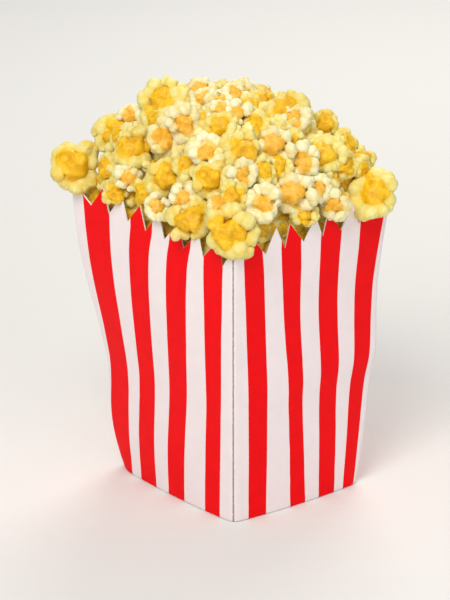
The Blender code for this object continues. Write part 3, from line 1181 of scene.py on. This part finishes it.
@dataclass(frozen=True)
class PoppedCorn:
    """Popped corn: puffed cream lobes round a golden heart, with deeper cream and amber where lobes meet
    that is partly butter and partly painted crease shade.

    Spots and streaks are sized in shares of a flake's radius, and the finer relief in metres.
    """

    name: str
    cream: Colour
    cream_tip: Colour
    cream_deep: Colour
    gold: Colour
    # The brighter gold is a painted highlight.
    gold_highlight: Colour
    amber: Colour
    soak: float = 0.4
    crease_butter_and_shade_share: float = 0.8
    spot_size: float = 0.24
    spot_depth: float = 0.35 * MM
    streak_size: float = 0.42
    crumple_size: float = 2.4 * MM
    crumple_depth: float = 0.45 * MM
    fine_size: float = 0.8 * MM
    fine_depth: float = 0.12 * MM

    def make(self) -> bpy.types.Material:
        """Build the material.

        Returns:
            The material.
        """
        bench = Bench(
            self.name,
            Specular_IOR_Level=0.3,
            Subsurface_Weight=0.12,
            Subsurface_Radius=(1.0, 0.85, 0.45),
            Subsurface_Scale=1.6 * MM,
        )
        local = bench.node("ShaderNodeAttribute", {"attribute_name": FlakeMould.LOCAL}).outputs["Vector"]
        gold = bench.attribute(FlakeMould.GOLD)
        crease = bench.attribute(FlakeMould.CREASE)
        tint = bench.attribute(Pile.TINT)
        spots = bench.grain(self.spot_size, 2.0, local, 0.4)
        streaks = bench.grain(self.streak_size, 1.0, local, 1.1)
        fine = bench.grain(self.fine_size, 3.0)
        is_gold = (gold + (spots - 0.5) * 0.45).above(self.soak, 0.16)
        near_gold = (gold + (spots - 0.5) * 0.5).above(self.soak - 0.22, 0.4)
        puff = bench.blend(spots.above(0.52, 0.3), self.cream, self.cream_tip)
        puff = bench.blend(near_gold * 0.75, puff, self.cream_deep)
        # Deeper cream in the creases between lobes: partly butter, partly painted crease shade.
        puff = bench.blend(crease.above(0.55, 0.7) * self.crease_butter_and_shade_share, puff, self.cream_deep)
        # Brighter gold laid in random streaks over the heart is a painted highlight.
        heart = bench.blend(streaks.above(0.54, 0.14), self.gold, self.gold_highlight)
        heart = bench.blend((1 - streaks.above(0.36, 0.1)) * 0.7, heart, self.amber)
        # Amber in the heart's creases: partly butter, partly painted crease shade.
        heart = bench.blend(crease.above(0.85, 0.5) * 0.7, heart, self.amber)
        colour = bench.blend(is_gold, puff, heart)
        colour = bench.blend((tint - 0.5) * 0.3 + 0.1, colour, self.cream_deep, "MULTIPLY")
        crumple = bench.grain(self.crumple_size, 3.0, warp=0.6)
        bench.relief((spots, self.spot_depth), (crumple, self.crumple_depth), (fine, self.fine_depth))
        return bench.finish(colour, 0.6 - is_gold * 0.18 + (fine - 0.5) * 0.2)


class Lobe(NamedTuple):
    """One swollen ball of a flake, at unit size."""

    centre: Vector
    radius: float
    is_gold: bool


@dataclass(frozen=True)
class FlakeMould:
    """Pops the master flakes of one kind at unit radius, their golden heart along +Z."""

    GOLD = "gold"
    CREASE = "crease"
    LOCAL = "local"

    name: str
    seed: int
    shapes: int
    triangles: int
    squeeze: tuple[float, float] = (0.76, 0.96)
    spread: float = 0.3
    hub_height: float = -0.25
    hub_radius: float = 0.42
    petals: tuple[int, int] = (7, 8)
    petal_ring: tuple[float, float] = (0.58, 0.76)
    petal_radius: tuple[float, float] = (0.22, 0.33)
    petal_height: tuple[float, float] = (-0.26, 0.06)
    buds: tuple[int, int] = (0, 3)
    bud_fan: float = 0.4
    bud_stray: float = 0.14
    bud_reach: tuple[float, float] = (0.08, 0.18)
    bud_radius: tuple[float, float] = (0.17, 0.25)
    heart_shift: tuple[float, float] = (0.04, 0.2)
    heart_rise: float = 0.03
    heart_core: float = 0.32
    heart_lobes: tuple[int, int] = (4, 5)
    heart_ring: tuple[float, float] = (0.2, 0.4)
    heart_radius: tuple[float, float] = (0.25, 0.33)
    heart_height: tuple[float, float] = (0.02, 0.16)
    tails: tuple[int, int] = (1, 2)
    tail_ring: float = 0.58
    tail_height: float = 0.14
    tail_radius: tuple[float, float] = (0.15, 0.22)
    back_lobes: tuple[int, int] = (4, 5)
    back_ring: tuple[float, float] = (0.25, 0.42)
    back_height: tuple[float, float] = (-0.42, -0.28)
    back_radius: tuple[float, float] = (0.22, 0.3)
    ball_detail: int = 3
    voxel: float = 0.035
    settle_rounds: int = 2
    blend: float = 0.06
    gold_blend: float = 0.07
    crease_width: float = 0.1
    # Sizes and depths of the crumpling
    wrinkles: tuple = ((0.8, 0.1), (0.34, 0.08), (0.13, 0.03))
    wrinkle_step: float = 3.7
    wrinkle_start: float = 1.3

    def lobes(self, draw: random.Random) -> list[Lobe]:
        """The balls that one flake swells into.

        Args:
            draw: The source of its random draws.

        Returns:
            Hub, petals with their buds, golden heart, and back.
        """
        shift = self.ball(draw.uniform(0, math.tau), draw.uniform(*self.heart_shift), 0.0, 0.0).centre
        hub = self.ball(0.0, 0.0, self.hub_height, self.hub_radius)
        balls = [hub, Lobe(shift + Vector((0, 0, self.heart_rise)), self.heart_core, True)]
        squeeze = Matrix.Diagonal((1.0, draw.uniform(*self.squeeze), 1.0))
        count = draw.randint(*self.petals)
        start = draw.uniform(0, math.tau)
        for i in range(count):
            angle = start + self.around(draw, i, count)
            ring, height = draw.uniform(*self.petal_ring), draw.uniform(*self.petal_height)
            balls.append(self.ball(angle, ring, height, draw.uniform(*self.petal_radius)))
            for side in range(draw.randint(*self.buds)):
                lean = (side - 1) * self.bud_fan + draw.uniform(-self.bud_stray, self.bud_stray)
                reach = ring + draw.uniform(*self.bud_reach)
                lift = height + draw.uniform(-self.bud_stray, self.bud_stray)
                balls.append(self.ball(angle + lean, reach, lift, draw.uniform(*self.bud_radius)))
        count = draw.randint(*self.heart_lobes)
        for i in range(count):
            angle = self.around(draw, i, count)
            ring, radius = draw.uniform(*self.heart_ring), draw.uniform(*self.heart_radius)
            heart = self.ball(angle, ring, draw.uniform(*self.heart_height), radius, True)
            balls.append(heart._replace(centre=heart.centre + shift))
        for _ in range(draw.randint(*self.tails)):
            angle = draw.uniform(0, math.tau)
            radius = draw.uniform(*self.tail_radius)
            balls.append(self.ball(angle, self.tail_ring, self.tail_height, radius, True))
        for i in range(draw.randint(*self.back_lobes)):
            angle = self.around(draw, i, self.back_lobes[1])
            ring, height = draw.uniform(*self.back_ring), draw.uniform(*self.back_height)
            balls.append(self.ball(angle, ring, height, draw.uniform(*self.back_radius), i == 0))
        return [lobe._replace(centre=squeeze @ lobe.centre) for lobe in balls]

    def around(self, draw: random.Random, number: int, count: int) -> float:
        """The angle of one of a count of places round the axis, strayed at random."""
        return math.tau * (number + draw.uniform(-1, 1) * self.spread) / count

    @staticmethod
    def ball(angle: float, ring: float, height: float, radius: float, is_gold: bool = False) -> Lobe:
        """A lobe at an angle round the flake's axis."""
        return Lobe(Vector((math.cos(angle) * ring, math.sin(angle) * ring, height)), radius, is_gold)

    def pop(self, index: int) -> bpy.types.Object:
        """Make one master flake.

        Args:
            index: Its number, which seeds its shape.

        Returns:
            The flake, with its attributes, at the origin.
        """
        balls = self.lobes(random.Random(self.seed * 100 + index))
        bm = bmesh.new()
        for lobe in balls:
            place = Matrix.Translation(lobe.centre)
            bmesh.ops.create_icosphere(bm, subdivisions=self.ball_detail, radius=lobe.radius, matrix=place)
        flake = link_mesh(bm, f"{self.name}_{index:02d}")
        wrap = flake.modifiers.new("wrap", "REMESH")
        wrap.mode = "VOXEL"
        wrap.voxel_size = self.voxel
        bake_modifiers(flake)
        self.settle(flake.data, balls)
        self.wrinkle(flake.data, index)
        thin = flake.modifiers.new("thin", "DECIMATE")
        thin.ratio = min(1.0, self.triangles / (2 * len(flake.data.polygons)))
        bake_modifiers(flake)
        self.colour(flake.data, balls)
        flake.data.shade_smooth()
        return flake

    def measure(self, places: np.ndarray, balls: list[Lobe]) -> tuple[np.ndarray, np.ndarray]:
        """Measure how a flake's points lie to its balls.

        Args:
            places: The points, one row each.
            balls: The balls.

        Returns:
            The distance of each point to each ball's skin, and the unit way from the ball to it.
        """
        away = places[:, None, :] - np.array([lobe.centre for lobe in balls])[None]
        length = np.linalg.norm(away, axis=2) + 1e-9
        return length - np.array([lobe.radius for lobe in balls]), away / length[..., None]

    def settle(self, mesh: bpy.types.Mesh, balls: list[Lobe]) -> None:
        """Move a mesh's points onto the smooth skin that wraps the balls.

        Args:
            mesh: The mesh.
            balls: The balls.
        """
        places = read_points(mesh)
        for _ in range(self.settle_rounds):
            gaps, ways = self.measure(places, balls)
            weights = np.exp(-(gaps - gaps.min(1, keepdims=True)) / self.blend)
            total = weights.sum(1, keepdims=True)
            distance = gaps.min(1, keepdims=True) - self.blend * np.log(total)
            places -= distance * (ways * (weights / total)[..., None]).sum(1)
        move_points(mesh, places)

    def wrinkle(self, mesh: bpy.types.Mesh, index: int) -> None:
        """Crumple the skin by a few sizes of soft noise.

        Args:
            mesh: The mesh.
            index: The flake's number, which picks its stretch of noise.
        """
        offset = Vector((self.seed, index * self.wrinkle_step, self.wrinkle_start))
        pushes = [
            [sum(depth * noise.noise(vert.co / size + offset) for size, depth in self.wrinkles)]
            for vert in mesh.vertices
        ]
        move_points(mesh, read_points(mesh) + read_points(mesh, "normal") * np.array(pushes))

    def colour(self, mesh: bpy.types.Mesh, balls: list[Lobe]) -> None:
        """Store where the flake is golden, how deep in a crease each point lies, and its own place.

        Args:
            mesh: The mesh.
            balls: The balls.
        """
        places = read_points(mesh)
        gaps, _ = self.measure(places, balls)
        weights = np.exp(-(gaps - gaps.min(1, keepdims=True)) / self.gold_blend)
        golden = np.array([lobe.is_gold for lobe in balls], float)
        write_points(mesh, self.GOLD, (weights * golden).sum(1) / weights.sum(1))
        # How deep in a crease each point lies, which the finish turns into butter and painted crease shade.
        nearest = np.sort(gaps, axis=1)
        crease = 1 - (nearest[:, 1] - nearest[:, 0]) / self.crease_width
        write_points(mesh, self.CREASE, np.clip(crease, 0, 1))
        write_points(mesh, self.LOCAL, places)


@dataclass
class PileTree:
    """The Geometry Nodes tree that lays master flakes on points and joins them."""

    SHAPES = "Shapes"
    FACTOR = "Size Factor"
    FINISH = "Finish"

    tree: bpy.types.GeometryNodeTree = field(init=False)

    def __post_init__(self) -> None:
        """Build the tree."""
        self.tree = bpy.data.node_groups.new("lay_flakes", "GeometryNodeTree")
        face = self.tree.interface
        face.new_socket("Geometry", in_out="INPUT", socket_type="NodeSocketGeometry")
        face.new_socket(self.SHAPES, in_out="INPUT", socket_type="NodeSocketCollection")
        face.new_socket(self.FACTOR, in_out="INPUT", socket_type="NodeSocketFloat")
        face.new_socket(self.FINISH, in_out="INPUT", socket_type="NodeSocketMaterial")
        face.new_socket("Geometry", in_out="OUTPUT", socket_type="NodeSocketGeometry")
        start = self.tree.nodes.new("NodeGroupInput").outputs
        shapes = self.add("GeometryNodeCollectionInfo", {}, {"Collection": start[self.SHAPES]})
        shapes.inputs["Separate Children"].default_value = True
        shapes.inputs["Reset Children"].default_value = True
        turn = self.add("FunctionNodeEulerToRotation", {}, {0: self.stored(Pile.TURN, "FLOAT_VECTOR")})
        size = self.add(
            "ShaderNodeMath",
            {"operation": "MULTIPLY"},
            {0: self.stored(Pile.SIZE, "FLOAT"), 1: start[self.FACTOR]},
        )
        lay = self.add(
            "GeometryNodeInstanceOnPoints",
            {},
            {
                "Points": start["Geometry"],
                "Instance": shapes.outputs["Instances"],
                "Instance Index": self.stored(Pile.SHAPE, "INT"),
                "Rotation": turn.outputs[0],
                "Scale": size.outputs[0],
            },
        )
        lay.inputs["Pick Instance"].default_value = True
        real = self.add("GeometryNodeRealizeInstances", {}, {"Geometry": lay.outputs["Instances"]})
        finished = self.add(
            "GeometryNodeSetMaterial",
            {},
            {"Geometry": real.outputs["Geometry"], "Material": start[self.FINISH]},
        )
        self.add("NodeGroupOutput", {}, {"Geometry": finished.outputs["Geometry"]})

    def add(self, kind: str, settings: Mapping[str, Any], links: Mapping[str | int, Any]) -> bpy.types.Node:
        """Add a node.

        Args:
            kind: The node's type.
            settings: Its properties.
            links: The sockets that feed its inputs, by name or number.

        Returns:
            The node.
        """
        made = self.tree.nodes.new(kind)
        for key, value in settings.items():
            setattr(made, key, value)
        for key, source in links.items():
            self.tree.links.new(source, made.inputs[key])
        return made

    def stored(self, name: str, kind: str) -> bpy.types.NodeSocket:
        """The socket of an attribute stored on the points.

        Args:
            name: The attribute's name.
            kind: Its data type.

        Returns:
            The socket.
        """
        made = self.add("GeometryNodeInputNamedAttribute", {"data_type": kind}, {})
        made.inputs["Name"].default_value = name
        return made.outputs["Attribute"]

    def run(self, points: bpy.types.Object, values: Mapping[str, Any]) -> None:
        """Turn an object of points into one plain mesh.

        Args:
            points: The object, whose mesh is replaced.
            values: The tree's inputs by their names.
        """
        layer = points.modifiers.new("lay", "NODES")
        layer.node_group = self.tree
        for socket in self.tree.interface.items_tree:
            if socket.in_out == "INPUT" and socket.name in values:
                layer[socket.identifier] = values[socket.name]
        bake_modifiers(points)


class Spot(NamedTuple):
    """One point of a pile: where a flake lies, which way it looks, and how large it is."""

    centre: Vector
    axis: Vector
    radius: float


@dataclass
class Pile:
    """All the flakes of one kind, laid on their spots and joined."""

    SHAPE = "shape"
    TURN = "turn"
    SIZE = "size"
    TINT = "tint"

    name: str
    mould: FlakeMould
    finish: PoppedCorn
    factor: float = 1.0
    tilt: float = 10.0

    def build(self, tree: PileTree, spots: list[Spot]) -> bpy.types.Object:
        """Pop the masters, lay them and join them.

        Args:
            tree: The Geometry Nodes tree that lays them.
            spots: Where they lie.

        Returns:
            The finished piece.
        """
        masters = bpy.data.collections.new(f"{self.name}_masters")
        for index in range(self.mould.shapes):
            flake = self.mould.pop(index)
            bpy.context.scene.collection.objects.unlink(flake)
            masters.objects.link(flake)
        piece = self.scatter(spots)
        finish = self.finish.make()
        tree.run(piece, {tree.SHAPES: masters, tree.FACTOR: self.factor, tree.FINISH: finish})
        dress(piece, finish)
        for flake in list(masters.objects):
            bpy.data.objects.remove(flake)
        bpy.data.collections.remove(masters)
        return piece

    def scatter(self, spots: list[Spot]) -> bpy.types.Object:
        """Make the points that the flakes are laid on, with what the tree reads there.

        Args:
            spots: Where the flakes lie.

        Returns:
            An object with one point for each spot.
        """
        draw = random.Random(self.mould.seed)
        bm = bmesh.new()
        for spot in spots:
            bm.verts.new(spot.centre)
        piece = link_mesh(bm, self.name)
        shape = piece.data.attributes.new(self.SHAPE, "INT", "POINT")
        shape.data.foreach_set("value", [i % self.mould.shapes for i in range(len(spots))])
        write_points(piece.data, self.TURN, np.array([self.turn(spot.axis, draw) for spot in spots]))
        write_points(piece.data, self.SIZE, np.array([spot.radius for spot in spots]))
        write_points(piece.data, self.TINT, np.array([draw.random() for _ in spots]))
        return piece

    def turn(self, axis: Vector, draw: random.Random) -> Euler:
        """A turn that points a flake's heart along an axis, give or take a tilt, spun at random.

        Args:
            axis: Where the heart looks.
            draw: The source of its random draws.

        Returns:
            The turn.
        """
        spin = Matrix.Rotation(draw.uniform(0, math.tau), 3, "Z")
        away = Euler([math.radians(draw.gauss(0, self.tilt)) for _ in range(2)] + [0]).to_matrix()
        return (axis.to_track_quat("Z", "Y").to_matrix() @ away @ spin).to_euler()


@dataclass
class Heap:
    """The popcorn: two kinds of flake that show, smaller ones under them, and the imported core."""

    form: HeapForm = field(default_factory=HeapForm)
    tub: TubForm = field(default_factory=TubForm)
    outward_lean: float = 0.6
    front_lean: float = 1.3
    dome_lean: float = 0.35
    filler_lean: float = 0.65
    side_lean: float = 0.3
    front_rise: float = 0.36
    front_edge: float = -25 * MM
    filler_sink: float = 1.5 * MM
    least_radius: float = 7.6 * MM
    under_count: int = 120
    under_reach: float = 0.93
    under_sink: float = 4.0 * MM
    under_stray: float = 8.0
    under_radii_mm: tuple[float, float] = (7.5, 11.0)
    # Rings of flakes inside the rim: how many, how far in, and between which heights in mm
    rings: tuple = ((56, 0.8 * MM, (-2.0, 3.0)), (50, 2.5 * MM, (7.0, 14.0)))
    ring_radii_mm: tuple[float, float] = (7.2, 8.8)
    ring_margin: float = 0.09
    ring_depth: float = 0.84
    ring_stray: float = 0.16
    ring_rise: float = 0.4
    # Small flakes in the two gaps that show beside the corners: place and radius in mm
    plugs: tuple = (((-61.0, -54.5, 169.5), 7.4), ((54.0, 36.5, 186.5), 8.6))
    core_gap: float = 1.0 * MM
    core_sink: float = 7.0 * MM
    core_rim_sink: float = 20.0 * MM
    core_shoulder: float = 0.84
    core_reach: float = 0.86
    core_foot: float = 2.6 * MM
    core_columns: int = 24
    core_rows: int = 9
    core_rings: int = 22
    core_bump: float = 3.0 * MM
    core_bump_size: float = 11 * MM
    core_bump_origin: tuple = (4, 9, 2)
    # Gold and crease values given all over the core; the crease value gives it an even touch of deeper
    # cream, partly butter and partly painted crease shade.
    core_tone: float = 0.3
    core_spot_scale: float = 10 * MM
    buttered: PoppedCorn = PoppedCorn(
        "buttered_corn",
        cream=linear(228, 217, 132),
        cream_tip=linear(236, 230, 162),
        cream_deep=linear(231, 200, 82),
        gold=linear(232, 182, 12),
        gold_highlight=linear(246, 199, 38),
        amber=linear(214, 152, 8),
    )
    whitish: PoppedCorn = PoppedCorn(
        "white_corn",
        cream=linear(234, 229, 184),
        cream_tip=linear(239, 237, 208),
        cream_deep=linear(234, 212, 132),
        gold=linear(237, 181, 54),
        gold_highlight=linear(246, 200, 104),
        amber=linear(226, 156, 38),
        soak=0.42,
    )
    # A paler, yellower copy of the popcorn for the flakes in the gaps and the core: painted light that
    # keeps these shaded flakes from looking dark and brown.
    gap_corn: PoppedCorn = PoppedCorn(
        "gap_corn",
        cream=linear(238, 228, 152),
        cream_tip=linear(242, 236, 178),
        cream_deep=linear(240, 214, 112),
        gold=linear(240, 194, 40),
        gold_highlight=linear(250, 208, 70),
        amber=linear(226, 168, 30),
    )
    # Chosen flakes that hang out over the rim: their number, their shift in mm and their share of size
    moved: tuple = ((0, (5.0, -5.0, 6.5), 0.92), (3, (0.9, 1.1, -2.3), 0.87))

    def facing(self, flake: Flake, is_chosen: bool) -> Vector:
        """Which way a flake's heart looks: out of the dome, and the shown ones towards the front.

        Args:
            flake: The flake.
            is_chosen: Whether it is one of the listed ones.

        Returns:
            The unit way.
        """
        front = self.form.front(self.front_rise)
        if is_chosen:
            return (flake.normal * self.dome_lean + front * self.front_lean).normalized()
        outward = Vector((flake.centre.x, flake.centre.y, 0))
        spread = min(outward.length / self.form.half_x, 1.0)
        outward.normalize()
        lean = self.filler_lean * max(0.0, outward.dot(front) + self.side_lean)
        return (flake.normal + outward * self.outward_lean * spread + front * lean).normalized()

    def spots(self, kind: Kind) -> list[Spot]:
        """The spots of one kind of flake. In front only the chosen small flakes are white.

        Args:
            kind: The kind.

        Returns:
            The spots.
        """
        chosen = len(self.form.chosen())
        moved = {number: (shift, share) for number, shift, share in self.moved}
        spots = []
        for index, flake in enumerate(self.form.lay()):
            is_filler = index >= chosen
            is_front_filler = is_filler and flake.centre.dot(self.form.front()) > self.front_edge
            if (Kind.BUTTER if is_front_filler else flake.kind) is kind:
                sink = flake.normal * self.filler_sink if is_front_filler else Vector()
                shift, share = moved.get(index, ((0, 0, 0), 1.0))
                centre = flake.centre - sink + Vector(shift) * MM
                radius = max(flake.radius, self.least_radius) * share
                spots.append(Spot(centre, self.facing(flake, not is_filler), radius))
        return spots

    def under_spots(self) -> list[Spot]:
        """The spots of the flakes that fill gaps: any way round in the dome, outward along the rim.

        Returns:
            The spots.
        """
        draw = random.Random(self.form.seed + 2)
        spots = []
        for i in range(self.under_count):
            reach = math.sqrt((i + 0.5) / self.under_count) * self.under_reach
            bearing = i * self.form.golden_angle + draw.uniform(-self.under_stray, self.under_stray)
            sink = self.form.normal(bearing, reach) * self.under_sink
            axis = Vector([draw.gauss(0, 1) for _ in range(3)]).normalized()
            radius = draw.uniform(*self.under_radii_mm) * MM
            spots.append(Spot(self.form.point(bearing, reach) - sink, axis, radius))
        for count, gap, levels_mm in self.rings:
            for i in range(count):
                face, along = divmod(i * FACES / count, 1)
                radius = draw.uniform(*self.ring_radii_mm) * MM
                z = self.tub.rim_level(int(face), along) + draw.uniform(*levels_mm) * MM
                along = mix(self.ring_margin, 1 - self.ring_margin, along)
                inset = self.tub.board + gap + self.ring_depth * radius
                place = self.tub.wall_point(int(face), along, z, inset)
                stray = Vector([draw.gauss(0, self.ring_stray) for _ in range(3)])
                axis = Vector((*self.tub.outward[int(face)], self.ring_rise)) + stray
                spots.append(Spot(place, axis.normalized(), radius))
        front = self.form.front(self.front_rise)
        return spots + [Spot(Vector(place) * MM, front, radius * MM) for place, radius in self.plugs]

    def build_core(self) -> bpy.types.Object:
        """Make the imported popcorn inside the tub, up to a bumpy dome under the flakes.

        Returns:
            The piece, without its finish.
        """
        bm = bmesh.new()
        inset = self.tub.board + self.core_gap
        columns = [(face, i / self.core_columns) for face in Corner for i in range(self.core_columns)]
        top = self.core_shoulder * self.tub.rim_z
        heights = [mix(self.core_foot, top, i / self.core_rows) for i in range(self.core_rows + 1)]
        loops = [[bm.verts.new(self.tub.wall_point(f, a, z, inset)) for f, a in columns] for z in heights]
        rim = loops[-1]
        for ring in range(self.core_rings):
            reach = self.core_reach * (1 - ring / self.core_rings)
            loop = []
            for vert in rim:
                bearing = math.degrees(math.atan2(vert.co.y, vert.co.x)) - self.form.front_bearing
                sink = self.core_sink + self.core_rim_sink * reach**4
                place = self.form.point(bearing, reach) - Vector((0, 0, sink))
                bump = noise.noise(place / self.core_bump_size + Vector(self.core_bump_origin))
                loop.append(bm.verts.new(place + Vector((0, 0, bump * self.core_bump))))
            loops.append(loop)
        skin(bm, loops)
        bm.faces.new(loops[0][::-1])
        bm.faces.new(loops[-1])
        core = link_mesh(bm, "popcorn_core")
        places = read_points(core.data)
        for layer in (FlakeMould.GOLD, FlakeMould.CREASE):
            write_points(core.data, layer, np.full(len(places), self.core_tone))
        write_points(core.data, FlakeMould.LOCAL, places / self.core_spot_scale)
        return core

    def piles(self) -> tuple[Pile, Pile, Pile]:
        """The buttered flakes, the white ones, and those that fill the gaps.

        Returns:
            The three piles.
        """
        white_mould = FlakeMould(
            "white",
            seed=9,
            shapes=7,
            triangles=2500,
            petals=(6, 8),
            petal_radius=(0.24, 0.36),
            petal_height=(-0.24, 0.14),
            heart_lobes=(3, 4),
            heart_ring=(0.16, 0.36),
            tails=(0, 1),
        )
        butter_mould = FlakeMould("butter", seed=7, shapes=8, triangles=2900)
        under_mould = FlakeMould("under", seed=21, shapes=6, triangles=850, voxel=0.05)
        return (
            Pile("popcorn_butter", butter_mould, self.buttered, factor=1.08),
            Pile("popcorn_white", white_mould, self.whitish, factor=1.12),
            Pile("popcorn_under", under_mould, self.gap_corn),
        )

    def build(self) -> list[bpy.types.Object]:
        """Make every piece of the heap.

        Returns:
            The finished pieces.
        """
        tree = PileTree()
        spots = (self.spots(Kind.BUTTER), self.spots(Kind.WHITE), self.under_spots())
        pieces = [pile.build(tree, places) for pile, places in zip(self.piles(), spots)]
        core = self.build_core()
        # The core takes the same paler finish, painted light for the shade it sits in.
        dress(core, pieces[-1].data.materials[0])
        return [*pieces, core]


@dataclass(frozen=True)
class FloorPaint:
    """The matt pale floor of the studio."""

    tone: Colour = linear(226, 224, 220)
    shade: Colour = linear(212, 210, 206)
    cloud_size: float = 60 * MM

    def make(self) -> bpy.types.Material:
        """Build the material.

        Returns:
            The material.
        """
        bench = Bench("pale_floor", Specular_IOR_Level=0.1)
        colour = bench.blend(bench.grain(self.cloud_size, 2.0) * 0.06, self.tone, self.shade)
        return bench.finish(colour, 0.9)


@dataclass(frozen=True)
class Lamp:
    """One soft area light, placed by bearing and height round the tub."""

    name: str
    azimuth: float
    elevation: float
    distance: float
    size: float
    watts: float
    tone: Colour = (1.0, 1.0, 1.0)


@dataclass
class Studio:
    """Floor, soft lights, world and the camera at the picture's angle."""

    azimuth: float = 49.38
    elevation: float = 20.32
    distance: float = 1.5
    lens: float = 155.3
    aim_right: float = -6.1 * MM
    aim_height: float = 109.3 * MM
    floor_radius: float = 3.0
    floor_sides: int = 96
    world_tone: Colour = (0.97, 0.98, 1.0)
    world_strength: float = 0.46
    lamps: tuple[Lamp, ...] = (
        Lamp("key_light", 28.0, 46.0, 1.5, 0.8, 14.4, (1.0, 0.985, 0.95)),
        Lamp("fill_light", 84.0, 25.0, 1.8, 1.2, 5.9, (0.95, 0.98, 1.0)),
        Lamp("back_light", 215.0, 42.0, 1.6, 1.0, 12.0, (1.0, 0.98, 0.94)),
    )

    @staticmethod
    def direction(azimuth: float, elevation: float) -> Vector:
        """The way from the tub towards a bearing, as the views count it, and a height in degrees."""
        a, e = math.radians(azimuth), math.radians(elevation)
        return Vector((math.sin(a) * math.cos(e), -math.cos(a) * math.cos(e), math.sin(e)))

    def build(self) -> None:
        """Make the whole studio."""
        self.lay_floor()
        for lamp in self.lamps:
            self.hang(lamp)
        self.light_world()
        self.place_camera()
        bpy.context.scene.view_settings.view_transform = "Standard"

    def lay_floor(self) -> None:
        """The round pale floor under the tub."""
        bm = bmesh.new()
        bmesh.ops.create_circle(bm, cap_ends=True, segments=self.floor_sides, radius=self.floor_radius)
        floor = link_mesh(bm, "floor")
        floor.data.materials.append(FloorPaint().make())

    def hang(self, lamp: Lamp) -> None:
        """Hang one area light that looks at the tub's middle.

        Args:
            lamp: The lamp.
        """
        light = bpy.data.lights.new(lamp.name, "AREA")
        light.shape = "DISK"
        light.size = lamp.size
        light.energy = lamp.watts
        light.color = lamp.tone
        holder = bpy.data.objects.new(lamp.name, light)
        bpy.context.scene.collection.objects.link(holder)
        away = self.direction(lamp.azimuth, lamp.elevation)
        holder.location = Vector((0, 0, self.aim_height)) + away * lamp.distance
        holder.rotation_euler = away.to_track_quat("Z", "Y").to_euler()

    def light_world(self) -> None:
        """An even pale surround."""
        world = bpy.data.worlds.new("studio")
        world.use_nodes = True
        background = world.node_tree.nodes["Background"]
        background.inputs["Color"].default_value = (*self.world_tone, 1.0)
        background.inputs["Strength"].default_value = self.world_strength
        bpy.context.scene.world = world

    def place_camera(self) -> None:
        """The camera, with the picture's bearing, height and lens."""
        data = bpy.data.cameras.new("camera")
        data.lens = self.lens
        camera = bpy.data.objects.new("camera", data)
        bpy.context.scene.collection.objects.link(camera)
        turn = math.radians(self.azimuth)
        right = Vector((math.cos(turn), math.sin(turn), 0))
        away = self.direction(self.azimuth, self.elevation)
        camera.location = right * self.aim_right + Vector((0, 0, self.aim_height)) + away * self.distance
        camera.rotation_euler = away.to_track_quat("Z", "Y").to_euler()
        bpy.context.scene.camera = camera


def main() -> None:
    """Build every sub-assembly in order and report it."""
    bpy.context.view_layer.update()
    for piece in (Tub().build(), TubFoot().build()):
        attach(piece, "root")
        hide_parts("bucket")
        LOG.info("%s: %d faces", piece.name, len(piece.data.polygons))
    for piece in Heap().build():
        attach(piece, "root")
        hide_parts("popcorn")
        LOG.info("%s: %d faces", piece.name, len(piece.data.polygons))
    Studio().build()


if __name__ == "__main__":
    logging.basicConfig(level=logging.INFO, format="%(message)s")
    main()
